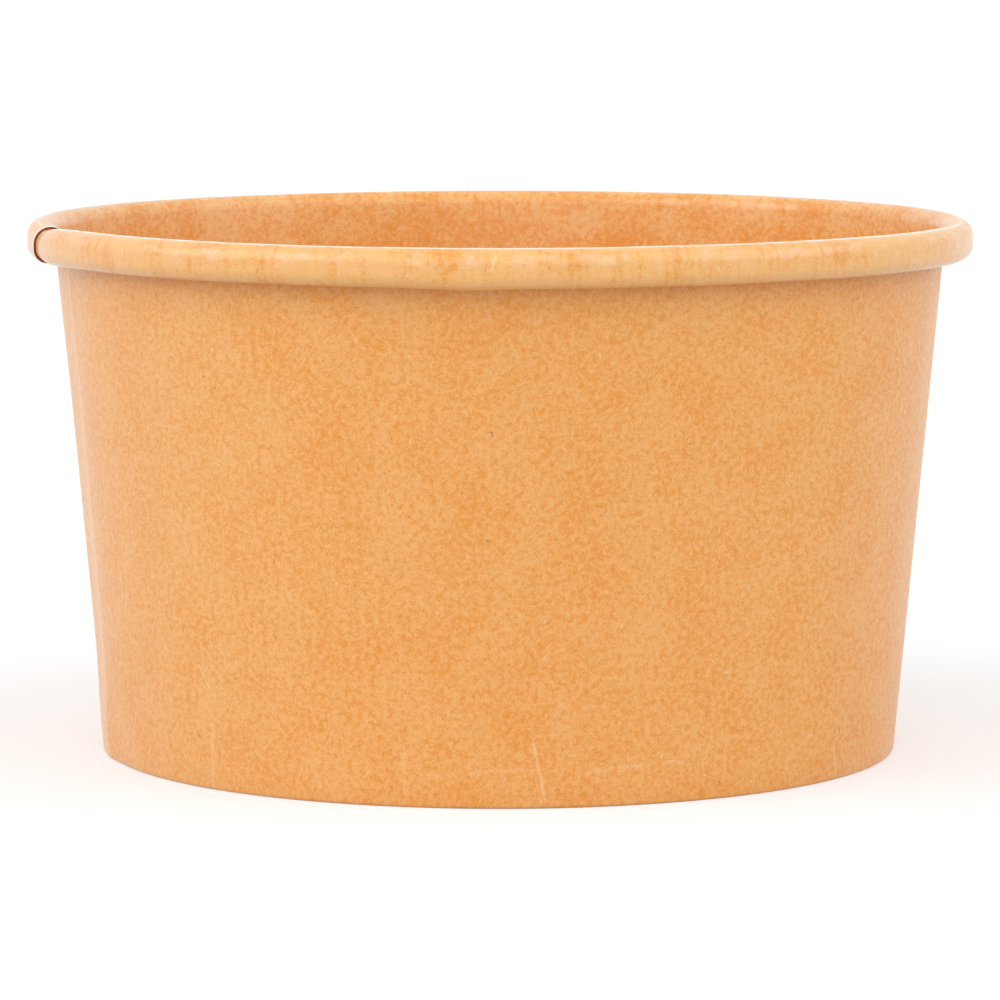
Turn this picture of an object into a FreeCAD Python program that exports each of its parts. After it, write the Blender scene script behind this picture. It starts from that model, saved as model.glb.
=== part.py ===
import FreeCAD, Part
import math
import os
import Sketcher
from FreeCAD import Vector

# A kraft paper ice cream tub, in millimetres, standing on its foot. The origin is the centre of the
# circle it stands on, and +Z is up. The tub is two pieces of board. The side wall is one blank,
# wrapped into a cone and glued where its ends lap, with a rolled rim and a foot folded inward and
# up. The bottom disc has a turned-down skirt, which the folded foot grips.
#
# The board has a food side, which faces the ice cream, and an outer side. In the rolled rim the
# food side is the outermost face, and in the folded foot it faces the skirt of the disc.

SIZES = [
    ("RimDiameter", 96.0, "across the outside of the rolled rim"),
    ("TubHeight", 54.2, "from the table to the top of the rim"),
    ("BaseDiameter", 80.7, "across the outside of the wall where its line meets the table"),
    ("Board", 0.30, "thickness of the wall's board"),
    ("CurlRadius", 1.55, "radius of the top of the rolled rim"),
    ("CurlDrop", 0.94, "straight stretch down the front of the rolled rim"),
    ("TailGap", 0.125, "clearance from the lapped wall to the tucked end of the roll"),
    ("TailLength", 0.60, "straight end of the roll, tucked up beside the wall"),
    ("FoldRadius", 0.08, "inside corner radius of the foot's pressed fold"),
    ("FlapHeight", 5.2, "height of the foot's turned-up flap above the table"),
    ("SeamTurn", 193.6, "angle of the inner cut edge of the seam, from +X towards +Y"),
    ("LapTurn", 8.0, "angle over which the blank's two ends lap"),
    ("RampTurn", 6.6, "angle over which the outer layer climbs onto the inner one"),
    ("DiscBoard", 0.30, "thickness of the bottom disc's board"),
    ("DiscHeight", 6.5, "height of the disc's underside above the table"),
    ("DiscCorner", 0.35, "inside radius between the disc and its skirt"),
    ("GlueLine", 0.03, "clearance on each side of the skirt"),
]

# Every bend of the board is a true arc in its sketch, and its face is drawn as equal chords of that
# arc. The foot's fold has two bends and the roll has two, and the outer face's second fold is wide
# enough for a chord more.
FOLD_CHORDS = 1
OUTSIDE_FOLD_CHORDS = 2
FOOD_ROLL_CHORDS = 6
OUTSIDE_ROLL_CHORDS = 4
DISC_TOP_CHORDS = 3
DISC_UNDERSIDE_CHORDS = 2

# Sections that the climb of the outer layer is lofted through, its two ends included.
CLIMB_SECTIONS = 4

# A sketch counts the start, the end and the centre of an edge as its points 1, 2 and 3, and its own
# axes as edges -1 and -2.
START, END, CENTRE = range(1, 4)
Y_AXIS, X_AXIS = range(-2, 0)
ORIGIN = (X_AXIS, START)


def write_sizes(doc):
    """Puts the driving sizes in a sheet, one row each: name, value and what it measures."""
    sheet = doc.addObject("Spreadsheet::Sheet", "Sizes")
    for row, (name, value, meaning) in enumerate(SIZES, start=1):
        sheet.set(f"A{row}", name)
        sheet.set(f"B{row}", str(value))
        sheet.set(f"C{row}", meaning)
        sheet.setAlias(f"B{row}", name)
    doc.recompute()
    return sheet


class Section:
    """A closed, fully constrained sketch in a plane through the tub's axis, turned by an angle.

    The sketch's x is the distance from the axis and its y is the height.
    """

    def __init__(self, body, name, turn):
        origin_features = body.Origin.OriginFeatures
        plane = next(item for item in origin_features if item.Role == "XZ_Plane")
        self.sketch = body.newObject("Sketcher::SketchObject", name)
        self.sketch.AttachmentSupport = [(plane, "")]
        self.sketch.MapMode = "FlatFace"
        about_axis = FreeCAD.Rotation(Vector(0, 1, 0), 0)
        self.sketch.AttachmentOffset = FreeCAD.Placement(Vector(0, 0, 0), about_axis)
        self.sketch.setExpression("AttachmentOffset.Rotation.Angle", f"({turn}) * 1deg")
        self.bound_sizes = []
        self.constraints = []

    def line(self, start, end, construction=False):
        return self.sketch.addGeometry(Part.LineSegment(start, end), construction)

    def bend(self, centre, radius, first_degrees, last_degrees, chords):
        """Draws a guide arc and the equal chords that follow it, and returns the arc."""
        circle = Part.Circle(centre, Vector(0, 0, 1), radius)
        turns = [math.radians(first_degrees + (last_degrees - first_degrees) * step / chords)
                 for step in range(chords + 1)]
        guide = Part.ArcOfCircle(circle, turns[0], turns[-1])
        arc = self.sketch.addGeometry(guide, True)
        corners = [circle.value(turn) for turn in turns]
        flats = [self.line(*ends) for ends in zip(corners, corners[1:])]
        self.hold("Coincident", flats[0], START, arc, START)
        self.hold("Coincident", flats[-1], END, arc, END)
        for flat, following in zip(flats, flats[1:]):
            self.hold("Coincident", flat, END, following, START)
            self.hold("PointOnObject", flat, END, arc)
            self.hold("Equal", flat, following)
        return arc

    def hold(self, kind, *where):
        self.constraints.append(Sketcher.Constraint(kind, *where))

    def size(self, expression, kind, *where):
        """Adds a dimension that follows an expression in the sheet's sizes."""
        self.bound_sizes.append((len(self.constraints), expression))
        start_value = self.sketch.evalExpression(expression)
        self.constraints.append(Sketcher.Constraint(kind, *where, float(start_value)))

    def join(self, edges, kind):
        """Joins each edge's leaving end to the next edge's entering end."""
        for (edge, _, leaving), (following, entering, _) in zip(edges, edges[1:]):
            self.hold(kind, edge, leaving, following, entering)

    def finish(self):
        self.sketch.addConstraint(self.constraints)
        for index, expression in self.bound_sizes:
            self.sketch.setExpression(f"Constraints[{index}]", expression)
        return self.sketch


class WallLine:
    """The straight line of the wall's outer face, in a plane through the axis.

    It leaves the table at the base diameter and runs up to touch the rolled rim, whose outer side
    has the curl radius less the board. Where the blank laps, this is the face of the inner layer.
    """

    def __init__(self, sizes):
        self.curl_centre = Vector(
            sizes.RimDiameter / 2 - sizes.CurlRadius, sizes.TubHeight - sizes.CurlRadius, 0)
        self.foot = Vector(sizes.BaseDiameter / 2, 0, 0)
        self.radius = sizes.CurlRadius - sizes.Board
        reach = self.curl_centre - self.foot
        slope = math.atan2(reach.y, reach.x)
        self.taper = math.acos(self.radius / reach.Length) - slope
        self.up = Vector(math.sin(self.taper), math.cos(self.taper), 0)
        self.out = Vector(math.cos(self.taper), -math.sin(self.taper), 0)
        self.taper_degrees = math.degrees(self.taper)

    def point(self, offset, height):
        """The point at a height on the line moved outward by an offset."""
        start = self.foot + self.out * offset
        return start + self.up * ((height - start.y) / self.up.y)

    def draw(self, section):
        """Draws the line as a guide and returns it with the centre that it is measured from."""
        touch = self.curl_centre - self.out * self.radius
        guide = section.line(self.foot, touch, construction=True)
        circle = section.sketch.addGeometry(
            Part.Circle(self.curl_centre, Vector(0, 0, 1), self.radius), True)
        section.size("Sizes.RimDiameter / 2 - Sizes.CurlRadius", "DistanceX",
                     *ORIGIN, circle, CENTRE)
        section.size("Sizes.TubHeight - Sizes.CurlRadius", "DistanceY", *ORIGIN, circle, CENTRE)
        section.size("Sizes.CurlRadius - Sizes.Board", "Radius", circle)
        section.hold("PointOnObject", guide, START, X_AXIS)
        section.size("Sizes.BaseDiameter / 2", "DistanceX", *ORIGIN, guide, START)
        section.hold("Tangent", guide, END, circle)
        return guide, circle


def wall_face(section, sizes, wall, offset, fold_height, fold_radius, chords):
    """Draws one face of the side wall, from the flap's top to the tucked end of the roll.

    The offset is the face's distance outward from the food side of the unlapped wall. Returns the
    edges in order, each with the ends at which a walk along the face enters and leaves it.
    """
    from_guide = offset - sizes.Board
    skirt_room = sizes.DiscBoard + 2 * sizes.GlueLine
    flap_from_guide = -sizes.Board - skirt_room - offset
    tilt = wall.taper_degrees
    out = wall.out
    fold_middle = fold_height + fold_radius
    inner_corner = wall.point(flap_from_guide + fold_radius, fold_middle)
    outer_corner = wall.point(from_guide - fold_radius, fold_middle)
    down = Vector(0, -fold_radius, 0)
    flap_foot = inner_corner - out * fold_radius
    wall_foot = outer_corner + out * fold_radius

    curl_centre = wall.curl_centre
    curl_radius = sizes.CurlRadius - offset
    wall_top = curl_centre - out * curl_radius
    tail_from_wall = 2 * sizes.Board + sizes.TailGap
    narrowing = (tail_from_wall - sizes.CurlDrop * wall.up.x) / (1 + out.x)
    lower_centre = curl_centre + Vector(narrowing, -sizes.CurlDrop, 0)
    lower_radius = curl_radius - narrowing
    rim_top = curl_centre + Vector(curl_radius, 0, 0)
    rim_foot = lower_centre + Vector(lower_radius, 0, 0)
    tail_foot = lower_centre - out * lower_radius
    tail_top = tail_foot + wall.up * sizes.TailLength

    flap = section.line(wall.point(flap_from_guide, sizes.FlapHeight), flap_foot)
    inner_fold = section.bend(inner_corner, fold_radius, 180 - tilt, 270, chords[0])
    sole = section.line(inner_corner + down, outer_corner + down)
    outer_fold = section.bend(outer_corner, fold_radius, -90, -tilt, chords[1])
    side = section.line(wall_foot, wall_top)
    curl = section.bend(curl_centre, curl_radius, 0, 180 - tilt, chords[2])
    front = section.line(rim_top, rim_foot)
    lower_curl = section.bend(lower_centre, lower_radius, 180 - tilt, 360, chords[3])
    tail = section.line(tail_foot, tail_top)
    return [(flap, START, END), (inner_fold, START, END), (sole, START, END),
            (outer_fold, START, END), (side, START, END), (curl, END, START),
            (front, START, END), (lower_curl, END, START), (tail, START, END)]


def wall_section(body, sizes, wall, name, turn, inner, outer):
    """Sketches the side wall's section between two offsets from its unlapped food side."""
    section = Section(body, name, turn)
    guide, circle = wall.draw(section)
    depth = {face: float(section.sketch.evalExpression(face)) for face in (inner, outer)}
    food = wall_face(section, sizes, wall, depth[inner], sizes.Board, sizes.FoldRadius,
                     (FOLD_CHORDS, FOLD_CHORDS, FOOD_ROLL_CHORDS, FOOD_ROLL_CHORDS))
    outside = wall_face(section, sizes, wall, depth[outer], 0, sizes.FoldRadius + sizes.Board,
                        (FOLD_CHORDS, OUTSIDE_FOLD_CHORDS, OUTSIDE_ROLL_CHORDS,
                         OUTSIDE_ROLL_CHORDS))

    faces = ((food, inner, "Sizes.FoldRadius"), (outside, outer, "Sizes.FoldRadius + Sizes.Board"))
    for edges, offset, fold_radius in faces:
        flap, inner_fold, sole, outer_fold, side, curl, front, lower_curl, tail = (
            edge for edge, _, _ in edges)
        section.join(edges, "Tangent")
        section.hold("Coincident", curl, CENTRE, circle, CENTRE)
        section.size(f"Sizes.CurlRadius - ({offset})", "Radius", curl)
        section.size(fold_radius, "Radius", inner_fold)
        section.size(fold_radius, "Radius", outer_fold)
        section.hold("Horizontal", sole)
        for upright in (flap, side, tail):
            section.hold("Parallel", upright, guide)
        section.size(f"Sizes.DiscBoard + 2 * Sizes.GlueLine + 2 * ({offset})", "Distance",
                     flap, START, side)
        section.size(f"Sizes.Board + Sizes.TailGap + {offset}", "Distance", tail, START, guide)

    flap, _, sole, _, _, curl, front, lower_curl, tail = (edge for edge, _, _ in food)
    section.size("Sizes.Board", "DistanceY", *ORIGIN, sole, START)
    section.hold("Vertical", front)
    section.size("Sizes.CurlDrop", "DistanceY", lower_curl, CENTRE, curl, CENTRE)
    section.size("Sizes.TailLength", "Distance", tail)
    section.size("Sizes.FlapHeight", "DistanceY", *ORIGIN, flap, START)
    outside_flap, _, outside_sole, _, _, _, _, outside_lower_curl, outside_tail = (
        edge for edge, _, _ in outside)
    section.hold("PointOnObject", outside_sole, START, X_AXIS)
    section.hold("Coincident", outside_lower_curl, CENTRE, lower_curl, CENTRE)

    for food_edge, outside_edge, end in ((tail, outside_tail, END), (flap, outside_flap, START)):
        cut_edge = section.line(section.sketch.getPoint(food_edge, end),
                                section.sketch.getPoint(outside_edge, end))
        section.hold("Coincident", cut_edge, START, food_edge, end)
        section.hold("Coincident", cut_edge, END, outside_edge, end)
        section.hold("Perpendicular", cut_edge, food_edge)
    return section.finish()


def revolve(body, name, sketch, sweep):
    """Turns a section about the tub's axis, from the section's own plane, towards +Y from +X."""
    feature = body.newObject("PartDesign::Revolution", name)
    feature.Profile = (sketch, [""])
    feature.ReferenceAxis = (sketch, ["V_Axis"])
    feature.setExpression("Angle", f"({sweep}) * 1deg")
    return feature


def make_side_wall(doc, sizes, wall):
    """The wrapped blank: single board most of the way round, then the climb and the glued lap."""
    body = doc.addObject("PartDesign::Body", "SideWall")
    body.Label = "side_wall"
    single = wall_section(body, sizes, wall, "SingleSection",
                          "Sizes.SeamTurn + Sizes.RampTurn", "0", "Sizes.Board")
    revolve(body, "SingleWall", single, "360 - Sizes.RampTurn - Sizes.LapTurn")
    double = wall_section(body, sizes, wall, "LapSection",
                          "Sizes.SeamTurn - Sizes.LapTurn", "0", "2 * Sizes.Board")
    revolve(body, "GluedLap", double, "Sizes.LapTurn")

    # The stiff outer layer leaves the cone on a tangent, so it climbs as the square of the turn, and
    # is steepest where it reaches the inner cut edge.
    climbing = []
    for step in range(CLIMB_SECTIONS):
        share = step / (CLIMB_SECTIONS - 1)
        lift = (1 - share) ** 2
        climbing.append(wall_section(
            body, sizes, wall, f"ClimbSection{step}",
            f"Sizes.SeamTurn + Sizes.RampTurn * {share}",
            f"Sizes.Board * {lift:.4f}", f"Sizes.Board * {1 + lift:.4f}"))
    climb = body.newObject("PartDesign::AdditiveLoft", "OuterLayerClimb")
    climb.Profile = (climbing[0], [""])
    climb.Sections = [(sketch, [""]) for sketch in climbing[1:]]
    climb.Ruled = True
    return body


def make_bottom_disc(doc, sizes, wall):
    """The recessed disc, whose skirt hangs down between the wall and the foot's flap."""
    body = doc.addObject("PartDesign::Body", "BottomDisc")
    body.Label = "bottom_disc"
    section = Section(body, "DiscSection", "0")
    guide, _ = wall.draw(section)
    tilt = wall.taper_degrees
    outer_radius = sizes.DiscCorner + sizes.DiscBoard
    under = sizes.DiscHeight
    top = under + sizes.DiscBoard
    skirt_face = -sizes.Board - sizes.GlueLine
    corner = wall.point(skirt_face - outer_radius, under - sizes.DiscCorner)
    skirt_end_height = sizes.Board + sizes.FoldRadius + sizes.GlueLine
    skirt_end = wall.point(skirt_face, skirt_end_height)
    up_radius = Vector(0, 1, 0)

    middle = section.line(Vector(0, under, 0), Vector(0, top, 0))
    floor = section.line(Vector(0, top, 0), corner + up_radius * outer_radius)
    outer_corner = section.bend(corner, outer_radius, -tilt, 90, DISC_TOP_CHORDS)
    skirt_outside = section.line(corner + wall.out * outer_radius, skirt_end)
    skirt_foot = section.line(skirt_end, skirt_end - wall.out * sizes.DiscBoard)
    skirt_inside = section.line(skirt_end - wall.out * sizes.DiscBoard,
                                corner + wall.out * sizes.DiscCorner)
    inner_corner = section.bend(corner, sizes.DiscCorner, -tilt, 90, DISC_UNDERSIDE_CHORDS)
    underside = section.line(corner + up_radius * sizes.DiscCorner, Vector(0, under, 0))

    section.join([(floor, START, END), (outer_corner, END, START),
                  (skirt_outside, START, END)], "Tangent")
    section.join([(skirt_inside, START, END), (inner_corner, START, END),
                  (underside, START, END)], "Tangent")
    section.join([(skirt_outside, START, END), (skirt_foot, START, END),
                  (skirt_inside, START, END)], "Coincident")
    section.join([(underside, START, END), (middle, START, END), (floor, START, END)], "Coincident")
    section.hold("Coincident", inner_corner, CENTRE, outer_corner, CENTRE)
    section.hold("PointOnObject", middle, START, Y_AXIS)
    section.hold("Vertical", middle)
    section.hold("Horizontal", underside)
    section.hold("Horizontal", floor)
    section.hold("Parallel", skirt_outside, guide)
    section.hold("Parallel", skirt_inside, guide)
    section.hold("Perpendicular", skirt_foot, skirt_outside)
    section.size("Sizes.DiscHeight", "DistanceY", *ORIGIN, middle, START)
    section.size("Sizes.DiscBoard", "DistanceY", middle, START, middle, END)
    section.size("Sizes.DiscCorner", "Radius", inner_corner)
    section.size("Sizes.Board + Sizes.GlueLine", "Distance", skirt_outside, END, guide)
    section.size("Sizes.Board + Sizes.FoldRadius + Sizes.GlueLine", "DistanceY",
                 *ORIGIN, skirt_foot, START)
    revolve(body, "Disc", section.finish(), "360")
    return body


def check_and_write(doc, bodies):
    """Stops at any failed feature or bad solid, then writes each piece to its own file."""
    doc.recompute()
    for item in doc.Objects:
        if "Invalid" in item.State or "Error" in item.State:
            raise RuntimeError(f"{item.Name} failed: {item.State}")
    for body in bodies:
        if body.Shape.isNull() or not body.Shape.isValid():
            raise RuntimeError(f"{body.Label} has no valid solid")
    os.makedirs("parts", exist_ok=True)
    for body in bodies:
        body.Shape.exportStep(f"parts/{body.Label}.step")


def main():
    doc = FreeCAD.newDocument("IceCreamTub")
    sizes = write_sizes(doc)
    wall = WallLine(sizes)
    side_wall = make_side_wall(doc, sizes, wall)
    bottom_disc = make_bottom_disc(doc, sizes, wall)
    check_and_write(doc, [side_wall, bottom_disc])


main()
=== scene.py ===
"""A kraft paper ice cream tub: its two pieces of board, their finish and a studio, in metres."""

import math
import random
from collections import namedtuple

import bpy
import numpy as np
from bpy.props import FloatProperty, FloatVectorProperty, PointerProperty
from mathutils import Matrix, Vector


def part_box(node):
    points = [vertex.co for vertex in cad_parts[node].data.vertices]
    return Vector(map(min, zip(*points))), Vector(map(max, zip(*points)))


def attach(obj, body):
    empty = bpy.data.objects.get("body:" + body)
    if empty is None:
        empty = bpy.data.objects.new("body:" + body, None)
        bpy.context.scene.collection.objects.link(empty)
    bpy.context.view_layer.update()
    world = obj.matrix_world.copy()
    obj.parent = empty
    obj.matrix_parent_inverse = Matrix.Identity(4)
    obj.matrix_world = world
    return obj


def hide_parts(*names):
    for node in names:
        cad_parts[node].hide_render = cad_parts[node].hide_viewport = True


bl_info = {
    "name": "Kraft Paper Tub",
    "version": (1, 0, 0),
    "blender": (4, 5, 0),
    "location": "3D View > Sidebar > Paper Tub",
    "description": "Builds a paper ice cream tub from its wrapped blank and its bottom disc",
    "category": "Add Mesh",
}

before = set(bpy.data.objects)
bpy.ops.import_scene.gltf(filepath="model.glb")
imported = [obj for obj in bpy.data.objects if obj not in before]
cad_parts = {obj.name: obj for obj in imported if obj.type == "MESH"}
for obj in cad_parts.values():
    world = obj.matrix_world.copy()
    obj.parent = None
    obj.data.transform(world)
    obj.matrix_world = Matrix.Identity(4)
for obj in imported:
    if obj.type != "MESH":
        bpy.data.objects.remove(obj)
WALL_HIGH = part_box("side_wall")[1]

MM = 0.001
BLANK_MAP = "Unrolled"
# One turn of the blank is laid out flat at this radius, about half way up the wall.
UNROLL_RADIUS = 0.044
# Each finish shifts its pattern along the map by its seed, and up it by this share of its seed.
MAP_SLANT = 0.37

# Forms round the tub. Each is the turn of its middle from +X and its reach before and after it, in
# degrees, and the depths are in metres.
LOOSE_ROLL = (194.5, 5.0, 9.0)
LOOSE_DROP = 1.8
LOW_RIM, LOW_RIM_DIP = (345.0, 18.0, 16.0), 0.00012
DEEP_FRONT, DEEP_FRONT_DROP = (285.0, 40.0, 40.0), 0.0001
DEEP_SPOT, DEEP_SPOT_DROP = (266.2, 5.5, 5.0), 0.00019
FLAT_LAP_MIDDLE, FLAT_LAP_REACH = 190.5, 10.0
FLAT_LAP_TOP_SHARE = 0.65
# The outer layer has climbed this far before it reaches the inner cut edge.
CLIMB_END = math.radians(1.1)
FLAP_EASE = math.radians(5.0)
LIP_HEIGHT, LIP_TURN = 0.00006, math.radians(0.16)
# The wall bulges between these heights.
BULGE_FOOT, BULGE_SPAN = 0.008, 0.036

# Each side of the board: how strongly clouds and mottles deepen its colour, its bump, its coat, and
# the roughness of its smoothest and roughest mottles.
BoardSide = namedtuple("BoardSide", "cloud mottle bump coat coat_roughness smoothest roughest")
COATED = BoardSide(2.4, 3.4, 0.22, 0.62, 0.18, 0.38, 0.48)
BARE = BoardSide(1.0, 2.5, 0.35, 0.30, 0.15, 0.46, 0.58)

# The pattern of the pulp, with lengths in millimetres and scales for one millimetre.
CLOUD_SCALE, MOTTLE_SCALE, GRAIN_SCALE = 0.16, 1.5, 7.0
WARP_SCALE, WARP_REACH = 0.5, 0.8
MEAN_DEPTH, GRAIN_DEPTH = 0.40, 1.0
GRAIN_SHADE, MOTTLE_SHADE = 0.36, -0.06
FIBRE_EDGE = 0.11
Fibres = namedtuple("Fibres", "headings length width cover depth")
DARK_FIBRES = Fibres((3.0, 48.0, 84.0, 131.0), 0.42, 0.13, 0.56, 0.46)
LIGHT_FIBRES = Fibres((22.0, 69.0, 107.0, 158.0), 0.50, 0.12, 0.58, -0.48)

# The roll of the coated side: runs in millimetres from where the wall ends.
ROLL_START = 52.6
CREST = 2.36
# Past the crest the coating is drawn out thin and paler, and the bead is also painted brighter as
# painted light against the darker inside.
DRAWN_OUT_AND_LIT = (1.9, 2.9)
# Painted shade: the inner wall is painted deeper lower down, fading out over this run below the
# roll's start.
PAINTED_SHADE_INSIDE = (-4.4, -1.2)
# Painted highlight on the shoulder, between these runs.
SHOULDER_FOOT, SHOULDER_TOP = (4.2, 5.6), (2.8, 3.8)
# Runs along the blank, in millimetres from the inner cut edge and back from the lap.
# Painted highlight: along this run the crest line grows from faint on the far half of the rim to
# full on the near half.
FAR_RIM_GLINT_FADE = (146.0, 178.0)
# Painted reflection: the bead is painted paler from this run on, towards its left edge.
LEFT_BEAD_SHEEN = (244.0, 262.0)
# Painted reflection: the outer face is painted paler over this run back from the lap, towards the
# left edge.
LEFT_WALL_SHEEN = (43.0, 23.0)

# Each lamp: its name, the studio size that holds its strength, its spread, its bearing from the
# viewer towards +X and its height, in degrees.
LAMPS = (
    ("Left lamp", "left_strength", 50.0, -70.0, 34.0),
    ("Right lamp", "right_strength", 60.0, 70.0, 34.0),
    ("Front lamp", "front_strength", 60.0, -8.0, 30.0),
)


class TubSizes(bpy.types.PropertyGroup):
    """The sizes of the board and of its bends."""

    rim_radius: FloatProperty(
        name="Rim radius", description="From the axis to the outside of the rolled rim",
        default=WALL_HIGH.x, min=0.01, unit="LENGTH")
    height: FloatProperty(
        name="Height", description="From the table to the top of the rim",
        default=WALL_HIGH.z, min=0.01, unit="LENGTH")
    base_radius: FloatProperty(
        name="Base radius", description="From the axis to where the wall's line meets the table",
        default=0.04035, min=0.01, unit="LENGTH")
    board: FloatProperty(
        name="Board", description="Thickness of the board", default=0.0003, min=0.0001,
        unit="LENGTH")
    curl_radius: FloatProperty(
        name="Curl radius", description="Radius of the top of the rolled rim", default=0.00155,
        min=0.0005, unit="LENGTH")
    curl_drop: FloatProperty(
        name="Curl drop", description="Straight stretch down the front of the rolled rim",
        default=0.00094, min=0.0, unit="LENGTH")
    tail_gap: FloatProperty(
        name="Tail gap", description="Clearance from the lapped wall to the tucked end of the roll",
        default=0.000125, min=0.0, unit="LENGTH")
    tail_length: FloatProperty(
        name="Tail length", description="Straight end of the roll, tucked up beside the wall",
        default=0.0006, min=0.0001, unit="LENGTH")
    fold_radius: FloatProperty(
        name="Fold radius", description="Inside corner radius of the foot's pressed fold",
        default=0.00008, min=0.00001, unit="LENGTH")
    flap_height: FloatProperty(
        name="Flap height", description="Height of the foot's turned-up flap above the table",
        default=0.0052, min=0.001, unit="LENGTH")
    disc_height: FloatProperty(
        name="Disc height", description="Height of the disc's underside above the table",
        default=0.0065, min=0.002, unit="LENGTH")
    disc_corner: FloatProperty(
        name="Disc corner", description="Inside radius between the disc and its skirt",
        default=0.00035, min=0.0001, unit="LENGTH")
    skirt_end: FloatProperty(
        name="Skirt end", description="Height of the lower end of the disc's skirt",
        default=0.00075, min=0.0003, unit="LENGTH")
    glue_line: FloatProperty(
        name="Glue line", description="Clearance on each side of the disc's skirt",
        default=0.00003, min=0.0, unit="LENGTH")
    seam_turn: FloatProperty(
        name="Seam turn", description="Where the inner cut edge of the seam stands, from +X",
        default=math.radians(193.6), subtype="ANGLE")
    lap_turn: FloatProperty(
        name="Lap turn", description="Angle over which the blank's two ends lap",
        default=math.radians(8.0), subtype="ANGLE")
    climb_turn: FloatProperty(
        name="Climb turn", description="Angle over which the outer layer climbs onto the inner one",
        default=math.radians(6.6), subtype="ANGLE")
    rim_waver: FloatProperty(
        name="Rim waver", description="How far the roll's height and reach wander round the rim",
        default=0.00007, min=0.0, unit="LENGTH")
    lap_flat: FloatProperty(
        name="Lap flatness", description="How far the stiff double layer pulls in from the cone",
        default=0.00058, min=0.0, unit="LENGTH")
    seam_sag: FloatProperty(
        name="Seam sag", description="How far the roll loosens and drops at the inner cut edge",
        default=0.00025, min=0.0, unit="LENGTH")
    wall_waver: FloatProperty(
        name="Wall waver", description="How far the board stands off a true cone",
        default=0.00006, min=0.0, unit="LENGTH")


class KraftColours(bpy.types.PropertyGroup):
    """The colours of the board, as linear light."""

    outside_pale: FloatVectorProperty(
        name="Outside, pale", description="Paler fibres of the uncoated outer side",
        subtype="COLOR", default=(0.845, 0.425, 0.135), min=0.0, max=1.0)
    outside_deep: FloatVectorProperty(
        name="Outside, deep", description="Orange mottles of the uncoated outer side",
        subtype="COLOR", default=(0.79, 0.285, 0.024), min=0.0, max=1.0)
    food_pale: FloatVectorProperty(
        name="Food side, pale", description="Paler fibres of the coated food side",
        subtype="COLOR", default=(0.80, 0.428, 0.135), min=0.0, max=1.0)
    food_deep: FloatVectorProperty(
        name="Food side, deep", description="Orange mottles of the coated food side",
        subtype="COLOR", default=(0.74, 0.27, 0.010), min=0.0, max=1.0)
    # Partly painted shade: darker than the bare fibre alone, for the shadowed gap at the seam's cut
    # edge.
    cut_edge_and_gap_shade: FloatVectorProperty(
        name="Cut edge", description="Bare fibres along the cut edges of the blank",
        subtype="COLOR", default=(0.23, 0.055, 0.012), min=0.0, max=1.0)
    speck: FloatVectorProperty(
        name="Speck", description="Bits of bark left in the pulp",
        subtype="COLOR", default=(0.33, 0.090, 0.010), min=0.0, max=1.0)
    # Painted highlight: the white glint painted along the crest and along the lip of the inner cut
    # edge.
    painted_glint: FloatVectorProperty(
        name="Burnished line", description="Coating strained white along the crest and the lip",
        subtype="COLOR", default=(0.94, 0.86, 0.72), min=0.0, max=1.0)
    # Painted highlight and reflection: pale sheen on the roll's shoulder, on the bead towards the
    # left and on the raised layer beside the seam.
    painted_sheen: FloatVectorProperty(
        name="Rubbed", description="Coating rubbed dull and pale on the roll's shoulder",
        subtype="COLOR", default=(0.94, 0.56, 0.40), min=0.0, max=1.0)
    # Also used as painted reflection: the paler lap strip and the wall leading to it on the left.
    fleck_and_sheen: FloatVectorProperty(
        name="Fleck", description="Bleached fibres lying on the surface",
        subtype="COLOR", default=(0.93, 0.68, 0.42), min=0.0, max=1.0)


class StudioSizes(bpy.types.PropertyGroup):
    """The camera, the lamps and the floor."""

    camera_distance: FloatProperty(
        name="Camera distance", description="From the tub's axis, towards -Y", default=0.5624,
        min=0.1, unit="LENGTH")
    camera_height: FloatProperty(
        name="Camera height", description="Above the table", default=0.0893, unit="LENGTH")
    camera_pitch: FloatProperty(
        name="Camera pitch", description="How far the camera looks down",
        default=math.radians(6.505), subtype="ANGLE")
    lens: FloatProperty(
        name="Lens", description="Focal length in millimetres on a 36 mm sensor", default=199.1,
        min=10.0)
    sky_strength: FloatProperty(
        name="Sky strength", description="Light from all round", default=0.74, min=0.0)
    left_strength: FloatProperty(
        name="Left strength", description="Soft lamp at the left", default=0.98, min=0.0)
    right_strength: FloatProperty(
        name="Right strength", description="Soft lamp at the right", default=0.80, min=0.0)
    front_strength: FloatProperty(
        name="Front strength", description="Soft lamp above the viewer", default=0.60, min=0.0)
    floor_reach: FloatProperty(
        name="Floor reach", description="Half the side of the floor", default=40.0, min=1.0,
        unit="LENGTH")


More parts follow.
